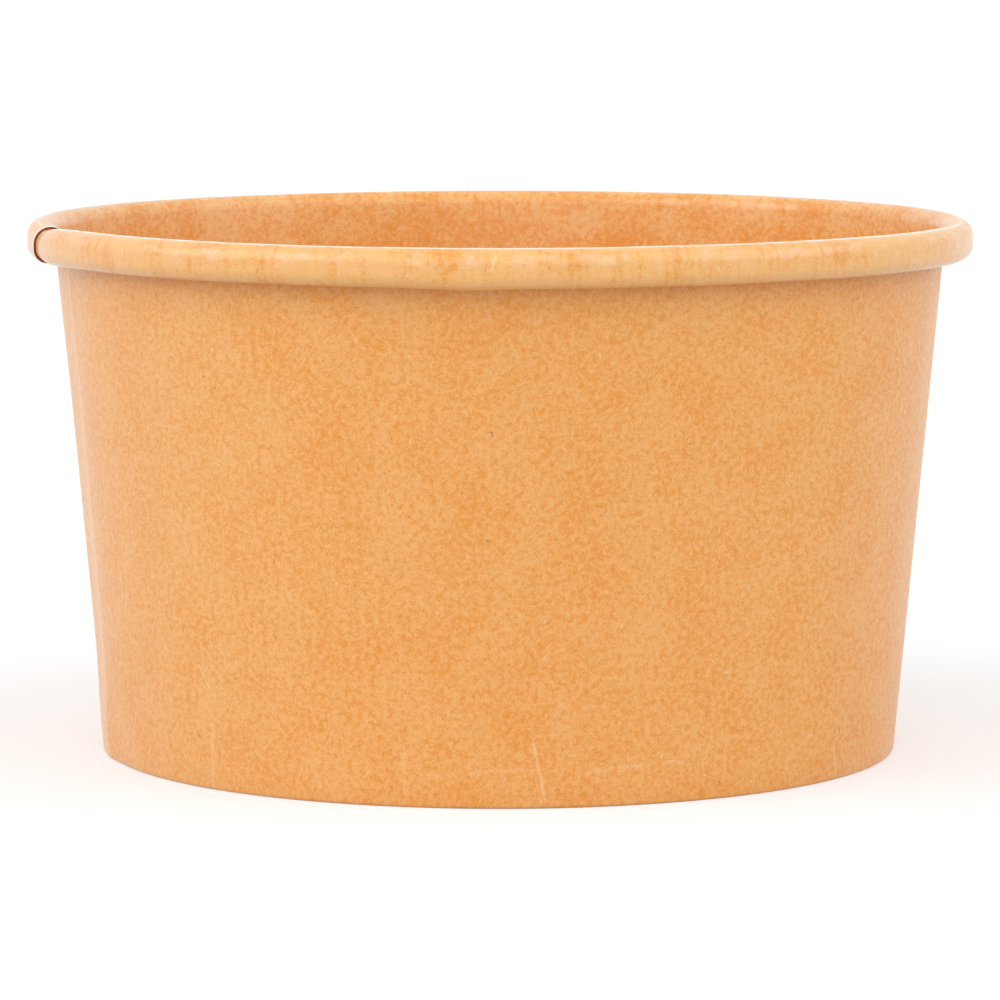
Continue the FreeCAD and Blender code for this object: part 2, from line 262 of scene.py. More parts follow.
class Finish:
    """One material's nodes, added from the surface's own map inward to the shader."""

    def __init__(self, name):
        self.material = bpy.data.materials.new(name)
        self.material.use_nodes = True
        self.tree = self.material.node_tree
        self.tree.nodes.clear()

    def add(self, kind, settings=None, feeds=None):
        """Adds a node, sets its own settings, and sets or joins its inputs."""
        node = self.tree.nodes.new(kind)
        for name, value in (settings or {}).items():
            setattr(node, name, value)
        for name, value in (feeds or {}).items():
            socket = node.inputs[name]
            if isinstance(value, bpy.types.NodeSocket):
                self.tree.links.new(value, socket)
            else:
                socket.default_value = value
        return node

    def sum(self, kind, first, second=0.0, third=0.0, clamp=False):
        node = self.add("ShaderNodeMath", {"operation": kind, "use_clamp": clamp},
                        {0: first, 1: second, 2: third})
        return node.outputs[0]

    def vector(self, kind, first, second=(0.0, 0.0, 0.0)):
        node = self.add("ShaderNodeVectorMath", {"operation": kind}, {0: first, 1: second})
        return node.outputs["Value" if kind in ("DOT_PRODUCT", "LENGTH") else "Vector"]

    def stretch(self, place, along, up):
        return self.vector("MULTIPLY", place, (along, up, 1.0))

    def shift(self, place, along, up):
        return self.vector("ADD", place, (along, up, 0.0))

    def fade(self, value, start, end, low=0.0, high=1.0):
        """Runs smoothly from low to high as the value goes from start to end."""
        node = self.add("ShaderNodeMapRange", {"interpolation_type": "SMOOTHSTEP"},
                        {"Value": value, "From Min": start, "From Max": end,
                         "To Min": low, "To Max": high})
        return node.outputs["Result"]

    def swing(self, field, amount, base):
        """Adds to a base what a field gives as it swings round one half."""
        return self.sum("MULTIPLY_ADD", self.sum("SUBTRACT", field, 0.5), amount, base)

    def grey(self, value, kind="ShaderNodeCombineColor"):
        """One value on all three channels."""
        return self.add(kind, {}, {0: value, 1: value, 2: value}).outputs[0]

    def noise(self, place, scale, detail=1.0, roughness=0.5):
        return self.add("ShaderNodeTexNoise", {"noise_dimensions": "2D"},
                        {"Vector": place, "Scale": scale, "Detail": detail,
                         "Roughness": roughness})

    def waver(self, place, scale, reach, detail):
        """A shift that wanders over the map by up to about half its reach."""
        field = self.noise(place, scale, detail=detail).outputs["Color"]
        centred = self.vector("SUBTRACT", field, (0.5, 0.5, 0.5))
        return self.vector("MULTIPLY", centred, (reach, reach, 0.0))

    def blend(self, share, first, second, kind="MIX"):
        node = self.add("ShaderNodeMix", {"data_type": "RGBA", "blend_type": kind},
                        {0: share, 6: first, 7: second})
        return node.outputs[2]


def opaque(colour):
    return (*colour, 1.0)


def strands(finish, place, fibres):
    """Thin strokes of the pulp, lying near each of several headings in degrees."""
    strongest = 0.0
    for heading in fibres.headings:
        turned = finish.add("ShaderNodeVectorRotate", {"rotation_type": "Z_AXIS"},
                            {"Vector": place, "Angle": math.radians(heading)}).outputs[0]
        turned = finish.shift(turned, 3.1 * heading, 1.7 * heading)
        drawn = finish.stretch(turned, 1.0 / fibres.length, 1.0 / fibres.width)
        field = finish.noise(drawn, 1.0, 0.7).outputs[0]
        strokes = finish.fade(field, fibres.cover, fibres.cover + FIBRE_EDGE)
        strongest = finish.sum("MAXIMUM", strongest, strokes)
    return strongest


def bits(finish, place, spacing, size, share, flatten):
    """Sparse small bits: a few of the cells of a scattered pattern hold one each."""
    cells = finish.add("ShaderNodeTexVoronoi", {"voronoi_dimensions": "2D", "feature": "F1"},
                       {"Vector": finish.stretch(place, 1.0, flatten), "Scale": 1.0 / spacing})
    near = finish.fade(cells.outputs["Distance"], size / spacing * 0.5, size / spacing, 1.0, 0.0)
    pick = finish.add("ShaderNodeSeparateColor", {}, {"Color": cells.outputs["Color"]})
    chosen = finish.sum("LESS_THAN", pick.outputs[0], share)
    return finish.sum("MULTIPLY", near, chosen)


def stroke(finish, place, points, width):
    """A line through points of the blank, in millimetres, fading out over its width."""
    mask = None
    for (along, up), (next_along, next_up) in zip(points, points[1:]):
        run = (next_along - along, next_up - up, 0.0)
        length = run[0] ** 2 + run[1] ** 2
        from_start = finish.vector("SUBTRACT", place, (along, up, 0.0))
        share = finish.vector("DOT_PRODUCT", from_start,
                              (run[0] / length, run[1] / length, 0.0))
        held = finish.sum("MULTIPLY", share, 1.0, clamp=True)
        nearest = finish.vector("MULTIPLY", finish.grey(held, "ShaderNodeCombineXYZ"), run)
        away = finish.vector("LENGTH", finish.vector("SUBTRACT", from_start, nearest))
        part = finish.fade(away, 0.0, width, 1.0, 0.0)
        mask = part if mask is None else finish.sum("MAXIMUM", mask, part)
    return mask


def make_board_finish(name, pale, deep, colours, marks=(), side=BARE, roll_start=None,
                      lap_start=None, seed=0.0):
    """Kraft board: pulp clouds, mottles and felted fibres, with flecks, specks and scuffs.

    Each mark is its points on the blank, its width, a colour and a strength. The roll starts at a
    run up the wall; on it the crest and shoulder get painted highlights, the bead painted sheen
    towards the left, and the wall below painted shade. The lap pressed smooth by the glueing starts
    at a run along the blank; the lap and the wall leading to it are also painted paler as a painted
    reflection.
    """
    finish = Finish(name)
    blank = finish.add("ShaderNodeUVMap", {"uv_map": BLANK_MAP}).outputs[0]
    place = finish.vector("MULTIPLY", blank, (1000.0, 1000.0, 0.0))
    place = finish.shift(place, seed, seed * MAP_SLANT)
    felted = finish.vector("ADD", place, finish.waver(place, WARP_SCALE, WARP_REACH, 1.0))
    run = finish.add("ShaderNodeSeparateXYZ", {}, {0: place}).outputs
    along, up = run[0], run[1]

    cloud = finish.noise(place, CLOUD_SCALE, detail=2.0, roughness=0.6).outputs[0]
    mottle = finish.noise(felted, MOTTLE_SCALE, detail=4.0, roughness=0.68).outputs[0]
    grain = finish.noise(place, GRAIN_SCALE, detail=1.5, roughness=0.6).outputs[0]
    dark_fibres = strands(finish, felted, DARK_FIBRES)
    light_fibres = strands(finish, felted, LIGHT_FIBRES)

    patches = finish.swing(mottle, side.mottle, 0.0)
    patches = finish.sum("MULTIPLY_ADD", dark_fibres, DARK_FIBRES.depth, patches)
    if roll_start is not None:
        roll_start += seed * MAP_SLANT
        drawn_out_and_lit = finish.fade(up, roll_start + DRAWN_OUT_AND_LIT[0], roll_start + DRAWN_OUT_AND_LIT[1])
        calm = finish.sum("MULTIPLY_ADD", drawn_out_and_lit, -0.60, 1.0)
        patches = finish.sum("MULTIPLY", patches, calm)
    depth = finish.sum("ADD", finish.swing(cloud, side.cloud, MEAN_DEPTH), patches)
    depth = finish.sum("MULTIPLY_ADD", light_fibres, LIGHT_FIBRES.depth, depth)
    depth = finish.swing(grain, GRAIN_DEPTH, depth)
    shade = finish.swing(mottle, MOTTLE_SHADE, finish.swing(grain, GRAIN_SHADE, 1.0))
    if roll_start is not None:
        on_roll = finish.fade(up, roll_start, roll_start + 1.0)
        strain = finish.noise(finish.stretch(place, 1.7, 0.28), 1.0, detail=2.0).outputs[0]
        strain = finish.sum("MULTIPLY", finish.sum("SUBTRACT", strain, 0.5), on_roll)
        depth = finish.sum("MULTIPLY_ADD", strain, 1.5, depth)
        # Painted shade: the colour deepens lower inside the tub.
        painted_shade_inside = finish.fade(up, roll_start + PAINTED_SHADE_INSIDE[0], roll_start + PAINTED_SHADE_INSIDE[1],
                                 0.24, 0.0)
        depth = finish.sum("ADD", depth, painted_shade_inside)
        # Paler and brighter on the outer roll: partly the coating drawn thin, partly painted light.
        depth = finish.sum("MULTIPLY_ADD", drawn_out_and_lit, -0.20, depth)
        shade = finish.sum("MULTIPLY_ADD", drawn_out_and_lit, 0.04, shade)
    depth = finish.sum("MULTIPLY", depth, 1.0, clamp=True)
    colour = finish.blend(depth, opaque(pale), opaque(deep))
    if roll_start is not None:
        # Painted reflection: the bead grows paler towards the left, where it is seen at a grazing
        # angle.
        left_bead_sheen = finish.fade(along, seed + LEFT_BEAD_SHEEN[0], seed + LEFT_BEAD_SHEEN[1], 0.0, 0.15)
        # Painted highlight: pale sheen on the shoulder, and on the bead towards its left edge.
        painted_sheen_mask = finish.sum("MAXIMUM", painted_shoulder_sheen(finish, place, up, roll_start),
                          finish.sum("MULTIPLY", left_bead_sheen, drawn_out_and_lit))
        colour = finish.blend(painted_sheen_mask, colour, opaque(colours.painted_sheen))
        # Painted highlight: the crest line is painted pale, faint on the far half of the rim and
        # full on the near half.
        glint_variation = finish.fade(along, seed + FAR_RIM_GLINT_FADE[0], seed + FAR_RIM_GLINT_FADE[1], 0.30, 1.0)
        line = finish.sum("MULTIPLY", painted_crest_glint(finish, place, up, roll_start + CREST), glint_variation)
        colour = finish.blend(line, colour, opaque(colours.painted_glint))
    colour = finish.blend(1.0, colour, finish.grey(shade), "MULTIPLY")

    flecks = bits(finish, felted, 2.6, 0.12, 0.16, 0.45)
    colour = finish.blend(finish.sum("MULTIPLY", flecks, 0.45), colour, opaque(colours.fleck_and_sheen))
    specks = bits(finish, finish.shift(felted, 17.0, 5.0), 6.0, 0.12, 0.10, 0.8)
    colour = finish.blend(finish.sum("MULTIPLY", specks, 0.60), colour, opaque(colours.speck))
    drawn = finish.vector("ADD", place, finish.waver(place, 1.3, 0.7, 2.0))
    drawn = finish.shift(drawn, -seed, -seed * MAP_SLANT)
    for points, width, tint, strength in marks:
        mask = finish.sum("MULTIPLY", stroke(finish, drawn, points, width), strength)
        colour = finish.blend(mask, colour, opaque(tint))

    rough = finish.fade(mottle, 0.3, 0.7, side.smoothest, side.roughest)
    # Painted reflection: the lap strip and the wall leading to it are painted paler; the lap's
    # lower roughness is the pressing.
    if lap_start is not None:
        pressed_and_sheen = finish.fade(along, lap_start - 0.2, lap_start + 0.7)
        left_wall_sheen = finish.fade(along, lap_start - LEFT_WALL_SHEEN[0], lap_start - LEFT_WALL_SHEEN[1], 0.0, 0.06)
        colour = finish.blend(left_wall_sheen, colour, opaque(colours.fleck_and_sheen))
        colour = finish.blend(finish.sum("MULTIPLY", pressed_and_sheen, 0.09), colour,
                              opaque(colours.fleck_and_sheen))
        rough = finish.sum("MULTIPLY_ADD", pressed_and_sheen, -0.10, rough)

    relief = finish.sum("MULTIPLY_ADD", light_fibres, 0.5, finish.sum("MULTIPLY", mottle, 0.8))
    relief = finish.sum("MULTIPLY_ADD", grain, 0.45, relief)
    bump = finish.add("ShaderNodeBump", {}, {"Strength": side.bump, "Distance": 0.00003,
                                             "Height": relief})
    shader = finish.add("ShaderNodeBsdfPrincipled", {}, {
        "Base Color": colour, "Roughness": rough, "Normal": bump.outputs[0],
        "IOR": 1.5, "Specular IOR Level": 0.5,
        "Coat Weight": side.coat, "Coat Roughness": side.coat_roughness,
        "Sheen Weight": 0.08, "Sheen Roughness": 0.5})
    finish.add("ShaderNodeOutputMaterial", {}, {"Surface": shader.outputs[0]})
    return finish.material


def painted_shoulder_sheen(finish, place, up, roll_start):
    """Painted highlight: pale soft blotches along the upper front of the roll's shoulder."""
    painted_sheen = finish.noise(finish.stretch(place, 0.42, 0.75), 1.0, detail=2.5).outputs[0]
    top = finish.fade(up, roll_start + SHOULDER_TOP[0], roll_start + SHOULDER_TOP[1])
    foot = finish.fade(up, roll_start + SHOULDER_FOOT[0], roll_start + SHOULDER_FOOT[1], 1.0, 0.25)
    return finish.sum("MULTIPLY", finish.sum("MULTIPLY", top, foot),
                      finish.fade(painted_sheen, 0.46, 0.72, 0.0, 0.32))


def painted_crest_glint(finish, place, up, crest):
    """A painted highlight: a pale line along the outer side of the crest, broken here and there."""
    line = finish.sum("MULTIPLY", finish.fade(up, crest - 0.16, crest - 0.02),
                      finish.fade(up, crest + 0.26, crest + 0.46, 1.0, 0.0))
    glint_variation = finish.noise(finish.stretch(place, 0.5, 1.2), 1.0, detail=2.0).outputs[0]
    return finish.sum("MULTIPLY", line, finish.fade(glint_variation, 0.30, 0.55, 0.45, 0.95))


def make_edge_finish(colour):
    """Cut edge of the board: layers of bare fibre seen end on, their colour darkened as painted
    shade of the gap at the seam.
    """
    finish = Finish("Cut kraft edge")
    blank = finish.add("ShaderNodeUVMap", {"uv_map": BLANK_MAP}).outputs[0]
    place = finish.vector("MULTIPLY", blank, (1000.0, 1000.0, 0.0))
    layers = finish.noise(finish.stretch(place, 1.0, 1.6), 2.2, detail=3.0).outputs[0]
    shade = finish.fade(layers, 0.25, 0.75, 0.75, 1.25)
    tint = finish.blend(1.0, opaque(colour), finish.grey(shade), "MULTIPLY")
    bump = finish.add("ShaderNodeBump", {}, {"Strength": 0.4, "Distance": 0.00003,
                                             "Height": layers})
    shader = finish.add("ShaderNodeBsdfPrincipled", {}, {
        "Base Color": tint, "Roughness": 0.8, "Normal": bump.outputs[0],
        "Specular IOR Level": 0.2})
    finish.add("ShaderNodeOutputMaterial", {}, {"Surface": shader.outputs[0]})
    return finish.material


def wander(turn, seed, waves):
    """A smooth wave round the tub between 0 and 1, the same on both layers of the lap."""
    draw = random.Random(seed)
    total = np.zeros_like(turn)
    largest = 0.0
    for count in waves:
        size = 1.0 / math.sqrt(count)
        total += size * np.sin(count * turn + draw.uniform(0.0, math.tau))
        largest += size
    return 0.5 + 0.5 * total / largest


def plane_points(radius, height):
    return np.stack(np.broadcast_arrays(radius, height), axis=-1)


def hump_at(turn, middle, before, after):
    """A smooth hump of 1 at a turn, with its reach on either side, all in degrees."""
    away = np.degrees(np.arctan2(np.sin(turn - math.radians(middle)),
                                 np.cos(turn - math.radians(middle))))
    return np.exp(-(away / np.where(away < 0.0, before, after)) ** 2)


class WallGuide:
    """The line of the wall's outer face in every column of the blank."""

    def __init__(self, sizes, curl_radius, drop, dip, tuck):
        self.drop = drop
        self.curl_radius = curl_radius
        self.curl_centre = plane_points(sizes.rim_radius - curl_radius - tuck,
                                        sizes.height - curl_radius - dip)
        self.foot = plane_points(sizes.base_radius, np.zeros_like(curl_radius))
        reach = self.curl_centre - self.foot
        slope = np.arctan2(reach[:, 1], reach[:, 0])
        radius = curl_radius - sizes.board
        self.taper = np.arccos(radius / np.hypot(reach[:, 0], reach[:, 1])) - slope
        self.up = plane_points(np.sin(self.taper), np.cos(self.taper))
        self.out = plane_points(np.cos(self.taper), -np.sin(self.taper))

    def point(self, offset, height):
        start = self.foot + self.out * np.reshape(offset, (-1, 1))
        rise = (height - start[:, 1]) / self.up[:, 1]
        return start + self.up * rise[:, None]


def straight(start, end, steps):
    """Points from start towards end, without the end, for every column."""
    return [start + (end - start) * (step / steps) for step in range(steps)]


def bend(centre, radius, first, last, steps):
    """Points round a bend from one angle towards another, without the last one."""
    points = []
    for step in range(steps):
        angle = first + (last - first) * (step / steps)
        around = plane_points(np.cos(angle), np.sin(angle))
        points.append(centre + around * np.reshape(radius, (-1, 1)))
    return points


def board_face(sizes, guide, offset, fold_height, fold_radius):
    """One face of the board in section, from the flap's top round to the end of the roll.

    The offset is the face's distance outward from the food side of the unlapped wall. Returns
    the points and the number of the first point of the wall.
    """
    board = sizes.board
    from_guide = offset - board
    room = board + 2 * sizes.glue_line
    flap_from_guide = -board - room - offset
    middle = fold_height + fold_radius
    inner_corner = guide.point(flap_from_guide + fold_radius, middle)
    outer_corner = guide.point(from_guide - fold_radius, middle)
    down = plane_points(0.0, -fold_radius)
    flap_foot = inner_corner - guide.out * fold_radius
    wall_foot = outer_corner + guide.out * fold_radius
    flap_top = guide.point(flap_from_guide, sizes.flap_height)

    curl_radius = guide.curl_radius - offset
    wall_top = guide.curl_centre - guide.out * curl_radius[:, None]
    narrowing = (2 * board + sizes.tail_gap - guide.drop * guide.up[:, 0]) / (1 + guide.out[:, 0])
    lower_centre = guide.curl_centre + plane_points(narrowing, -guide.drop)
    lower_radius = curl_radius - narrowing
    tail_foot = lower_centre - guide.out * lower_radius[:, None]
    tail_top = tail_foot + guide.up * sizes.tail_length
    rim_top = guide.curl_centre + plane_points(curl_radius, 0.0)
    rim_foot = lower_centre + plane_points(lower_radius, 0.0)
    leaning = math.pi - guide.taper

    flap = straight(flap_top, flap_foot, 4)
    inner_fold = bend(inner_corner, fold_radius, leaning, np.full_like(leaning, 1.5 * math.pi), 2)
    sole = straight(inner_corner + down, outer_corner + down, 2)
    outer_fold = bend(outer_corner, fold_radius, np.full_like(leaning, -0.5 * math.pi),
                      -guide.taper, 4)
    wall = straight(wall_foot, wall_top, 26)
    curl = bend(guide.curl_centre, curl_radius, leaning, np.zeros_like(leaning), 18)
    front = straight(rim_top, rim_foot, 2)
    lower_curl = bend(lower_centre, lower_radius, np.full_like(leaning, math.tau), leaning, 14)
    tail = straight(tail_foot, tail_top, 2) + [tail_top]
    before_wall = flap + inner_fold + sole + outer_fold
    points = np.array(before_wall + wall + curl + front + lower_curl + tail)
    return points, len(before_wall), len(before_wall) + len(wall)


def blank_columns(sizes):
    """The angles from the inner cut edge at which the blank is sampled, closer near its edges."""
    whole = math.tau + sizes.lap_turn
    even = np.linspace(0.0, whole, 490)
    lip = np.radians([0.07, 0.16, 0.3])
    near_step = math.tau + np.radians([-1.9, -1.5, -1.3, -1.2, -1.1, -1.0, -0.85, -0.6, -0.3, -0.1,
                                       0.15, 0.5])
    return np.unique(np.concatenate([even, lip, near_step, [whole - math.radians(0.1)]]))


def smooth(share):
    share = np.clip(share, 0.0, 1.0)
    return share * share * (3.0 - 2.0 * share)


def make_side_wall(sizes, finishes):
    """The wrapped blank as one sheet with two faces, four cut edges and a glued lap."""
    along = blank_columns(sizes)
    turn = sizes.seam_turn - along
    waver = sizes.rim_waver
    loose = hump_at(turn, *LOOSE_ROLL)
    dip = waver * (0.75 * wander(turn, 3, (3, 5, 9, 14)) + 0.25 * wander(turn, 4, (23, 37, 61)))
    dip = dip + sizes.seam_sag * loose + LOW_RIM_DIP * hump_at(turn, *LOW_RIM)
    tuck = waver * wander(turn, 5, (3, 7, 12, 19))
    drop = sizes.curl_drop + waver * 1.4 * (wander(turn, 6, (4, 7, 11, 17)) - 0.5)
    drop = drop + DEEP_FRONT_DROP * hump_at(turn, *DEEP_FRONT) - LOOSE_DROP * sizes.seam_sag * loose
    drop = drop + DEEP_SPOT_DROP * hump_at(turn, *DEEP_SPOT)
    curl_radius = sizes.curl_radius + sizes.seam_sag * loose
    guide = WallGuide(sizes, curl_radius, drop, dip, tuck)

    # The outer layer leaves the cone on a tangent, and is steepest where it meets the inner edge.
    climb = (along - math.tau + CLIMB_END) / sizes.climb_turn + 1.0
    rise = sizes.board * np.clip(climb, 0.0, 1.0) ** 2
    lip = LIP_HEIGHT * np.clip(1.0 - along / LIP_TURN, 0.0, 1.0)
    lifted = sizes.board * (1.0 - smooth((along - sizes.lap_turn) / FLAP_EASE))
    food, wall_start, wall_end = board_face(sizes, guide, rise, lifted + sizes.board,
                                            sizes.fold_radius)
    outer, _, _ = board_face(sizes, guide, rise + sizes.board, lifted,
                             sizes.fold_radius + sizes.board)
    food_lip = (outer - food) * (lip / sizes.board)[None, :, None]
    food = food + food_lip

    rows, columns = food.shape[:2]
    height = food[:, :, 1]
    level = (height - BULGE_FOOT) / BULGE_SPAN
    hump = np.sin(math.pi * np.clip(level, 0.0, 1.0)) ** 2
    level_wave = np.sin(level * 5.1 + 3.0 * wander(turn, 8, (2, 3, 5))[None, :])
    stand_off = sizes.wall_waver * hump * (
        (wander(turn, 7, (2, 3, 5, 8, 13))[None, :] - 0.5) * 1.5 + 0.4 * level_wave)
    held = smooth((height - 0.002) / 0.010) * (1.0 - smooth((height - 0.0500) / 0.0026))
    below_top = smooth((0.048 - height) / 0.012)
    held = held * (FLAT_LAP_TOP_SHARE + (1.0 - FLAT_LAP_TOP_SHARE) * below_top)
    from_middle = (np.degrees(turn) % 360.0 - FLAT_LAP_MIDDLE) / FLAT_LAP_REACH
    flat_lap = np.cos(0.5 * math.pi * np.clip(from_middle, -1.0, 1.0))
    stand_off = stand_off - sizes.lap_flat * held * (flat_lap ** 2)[None, :]
    is_wall = np.zeros((rows, 1))
    is_wall[wall_start:wall_end] = 1.0
    shift = guide.out[None, :, :] * (stand_off * is_wall)[:, :, None]
    food = food + shift
    outer = outer + shift

    def in_space(face):
        return np.stack([face[:, :, 0] * np.cos(turn)[None, :],
                         face[:, :, 0] * np.sin(turn)[None, :], face[:, :, 1]], axis=-1)

    corners = np.concatenate([in_space(food).reshape(-1, 3), in_space(outer).reshape(-1, 3)])
    half = rows * columns
    grid = np.arange(half).reshape(rows, columns)
    food_quads = np.stack([grid[:-1, :-1], grid[:-1, 1:], grid[1:, 1:], grid[1:, :-1]], -1)
    outer_quads = np.stack([grid[:-1, :-1], grid[1:, :-1], grid[1:, 1:], grid[:-1, 1:]], -1) + half
    start = np.stack([grid[:-1, 0], grid[1:, 0], grid[1:, 0] + half, grid[:-1, 0] + half], -1)
    end = np.stack([grid[1:, -1], grid[:-1, -1], grid[:-1, -1] + half, grid[1:, -1] + half], -1)
    flap_top = np.stack([grid[0, 1:], grid[0, :-1], grid[0, :-1] + half, grid[0, 1:] + half], -1)
    tail_end = np.stack([grid[-1, :-1], grid[-1, 1:], grid[-1, 1:] + half, grid[-1, :-1] + half],
                        -1)
    groups = [food_quads.reshape(-1, 4), outer_quads.reshape(-1, 4),
              np.concatenate([start, end, flap_top, tail_end])]
    quads = np.concatenate(groups)

    def run_up(face):
        steps = np.hypot(*np.moveaxis(np.diff(face, axis=0), -1, 0))
        run = np.concatenate([np.zeros((1, columns)), np.cumsum(steps, axis=0)])
        return run - run[wall_start][None, :]

    across = np.broadcast_to(along[None, :] * UNROLL_RADIUS, (rows, columns))
    flat = np.concatenate([np.stack([across, run_up(face)], -1).reshape(-1, 2)
                           for face in (food, outer)])
    return build_piece("side_wall_board", corners, quads, flat, finishes,
                       [len(group) for group in groups])


def build_piece(name, corners, quads, flat, finishes, face_counts):
    """Makes a mesh object from corners and faces, with its flat map and its finishes."""
    mesh = bpy.data.meshes.new(name)
    mesh.from_pydata(corners.tolist(), [], [[c for c in quad if c >= 0] for quad in quads.tolist()])
    for finish in finishes:
        mesh.materials.append(finish)
    slots = np.repeat(np.arange(len(face_counts)), face_counts).astype(np.int32)
    mesh.polygons.foreach_set("material_index", slots)
    mesh.polygons.foreach_set("use_smooth", np.ones(len(mesh.polygons), bool))
    corner_of_loop = np.zeros(len(mesh.loops), np.int32)
    mesh.loops.foreach_get("vertex_index", corner_of_loop)
    layer = mesh.uv_layers.new(name=BLANK_MAP)
    layer.data.foreach_set("uv", flat[corner_of_loop].astype(np.float32).ravel())
    mesh.set_sharp_from_angle(angle=math.radians(38.0))
    if mesh.validate():
        raise RuntimeError(f"{name} has a fault in its mesh")
    piece = bpy.data.objects.new(name, mesh)
    bpy.context.scene.collection.objects.link(piece)
    return piece


def disc_section(sizes):
    """The disc's section as a line from the middle of its top round to that of its underside."""
    guide = WallGuide(sizes, np.array([sizes.curl_radius]), sizes.curl_drop, 0.0, 0.0)
    out, taper = guide.out[0], float(guide.taper[0])
    corner_radius = sizes.disc_corner + sizes.board
    face = -sizes.board - sizes.glue_line
    corner = guide.point(face - corner_radius, sizes.disc_height - sizes.disc_corner)[0]
    skirt_foot = guide.point(face, sizes.skirt_end)[0]
    top_edge = corner + np.array([0.0, corner_radius])
    low_edge = corner + np.array([0.0, sizes.disc_corner])

    def arc(radius, first, last, steps):
        angles = np.linspace(first, last, steps)
        return [corner + radius * np.array([math.cos(a), math.sin(a)]) for a in angles]

    rings = np.linspace(0.0, 1.0, 22)[1:-1]
    top = [np.array([top_edge[0] * share, top_edge[1]]) for share in rings]
    top += arc(corner_radius, math.pi / 2, -taper, 7)
    inside = arc(sizes.disc_corner, -taper, math.pi / 2, 5)
    under = [np.array([low_edge[0] * share, low_edge[1]]) for share in rings[::-1]]
    skirt = [skirt_foot, skirt_foot - out * sizes.board]
    return np.array(top + skirt + inside + under), len(top), len(top) + 1


def make_bottom_disc(sizes, finishes):
    """The pressed disc with its turned-down skirt."""
    section, skirt_foot, skirt_inside = disc_section(sizes)
    columns = 300
    turn = np.linspace(0.0, math.tau, columns, endpoint=False)
    rows = len(section)
    radius = np.broadcast_to(section[:, :1], (rows, columns))
    height = np.array(np.broadcast_to(section[:, 1:], (rows, columns)))
    inward = 1.0 - smooth((radius / section[:, 0].max() - 0.55) / 0.42)
    swell = 0.00016 * inward * (wander(turn, 11, (2, 3, 5))[None, :] - 0.5)
    height = height + swell - 0.00010 * inward
    points = np.stack([radius * np.cos(turn), radius * np.sin(turn), height], -1)
    middle_top = [0.0, 0.0, float(height[0].mean())]
    middle_low = [0.0, 0.0, float(height[-1].mean())]
    corners = np.concatenate([points.reshape(-1, 3), [middle_top, middle_low]])
    grid = np.arange(rows * columns).reshape(rows, columns)
    after = np.roll(grid, -1, axis=1)
    band = np.stack([grid[:-1], grid[1:], after[1:], after[:-1]], -1)
    gone = np.full(columns, -1)
    first = np.full(columns, rows * columns)
    top_fan = np.stack([first, grid[0], after[0], gone], -1)
    low_fan = np.stack([first + 1, after[-1], grid[-1], gone], -1)
    groups = [np.concatenate([top_fan, band[:skirt_foot].reshape(-1, 4)]),
              np.concatenate([band[skirt_inside:].reshape(-1, 4), low_fan]),
              band[skirt_foot:skirt_inside].reshape(-1, 4)]
    quads = np.concatenate(groups)
    steps = np.hypot(*np.diff(section, axis=0).T)
    reach = np.concatenate([[section[0, 0]], section[0, 0] + np.cumsum(steps)])
    reach[skirt_foot + 1:] = reach[-1] - reach[skirt_foot + 1:]
    flat = np.stack([reach[:, None] * np.cos(turn), reach[:, None] * np.sin(turn)], -1)
    flat = np.concatenate([flat.reshape(-1, 2), np.zeros((2, 2))])
    return build_piece("bottom_disc_board", corners, quads, flat, finishes,
                       [len(group) for group in groups])


def on_blank(seam, turn, up):
    """Where a turn in degrees lies on the blank's flat map, in millimetres."""
    return (seam - math.radians(turn)) % math.tau * UNROLL_RADIUS / MM, up


def placed(seam, listed):
    return [([on_blank(seam, *point) for point in points], width, tint, strength)
            for points, width, tint, strength in listed]


def outside_marks(seam, colours):
    """Pressed creases above the foot, a scuff, and the longer bits of bark on the outer face.

    Each point is a turn in degrees and a height up the wall in millimetres.
    """
    light, deep, bark = colours.fleck_and_sheen, colours.outside_deep, colours.speck
    listed = [
        ([(226.96, 6.4), (226.04, 0.2)], 0.34, light, 0.24),
        ([(257.03, 5.6), (256.89, 1.2)], 0.32, light, 0.20),
        ([(244.0, 3.2), (244.6, 1.0)], 0.40, light, 0.20),
        ([(274.4, 6.8), (275.4, 2.8), (276.1, 0.4)], 0.26, light, 0.34),
        ([(277.0, 9.9), (275.0, 8.6), (274.4, 6.8)], 0.26, deep, 0.60),
        ([(302.1, 5.8), (302.5, 1.8)], 0.32, light, 0.16),
        ([(323.9, 2.9), (325.1, 0.3)], 0.34, light, 0.26),
        ([(259.1, 2.5), (267.3, 3.3), (275.4, 3.6)], 0.40, light, 0.14),
        ([(281.5, 3.1), (286.0, 3.5), (290.4, 3.5)], 0.42, light, 0.22),
        ([(292.6, 3.9), (295.8, 3.7)], 0.26, light, 0.30),
        ([(299.9, 6.4), (299.1, 3.8)], 0.24, light, 0.18),
        ([(285.3, 8.6), (284.6, 7.6), (284.3, 6.4)], 0.20, deep, 0.70),
        ([(301.5, 12.1), (302.3, 12.3)], 0.18, light, 0.40),
        ([(317.0, 4.6), (318.3, 4.8)], 0.20, light, 0.34),
        ([(225.2, 11.9), (226.9, 10.0)], 0.22, light, 0.42),
        ([(229.7, 40.9), (230.0, 40.8)], 0.15, bark, 0.75),
        ([(268.7, 36.4), (269.2, 36.0)], 0.15, bark, 0.95),
        ([(260.3, 34.6), (260.5, 34.5)], 0.14, bark, 0.60),
        ([(268.3, 26.0), (268.5, 25.9)], 0.14, bark, 0.60),
        ([(268.9, 22.2), (269.0, 22.1)], 0.13, bark, 0.60),
        ([(331.6, 50.1), (331.4, 49.4)], 0.16, bark, 0.75),
        ([(324.9, 5.1), (325.1, 4.5)], 0.15, bark, 0.60),
    ]
    return placed(seam, listed)


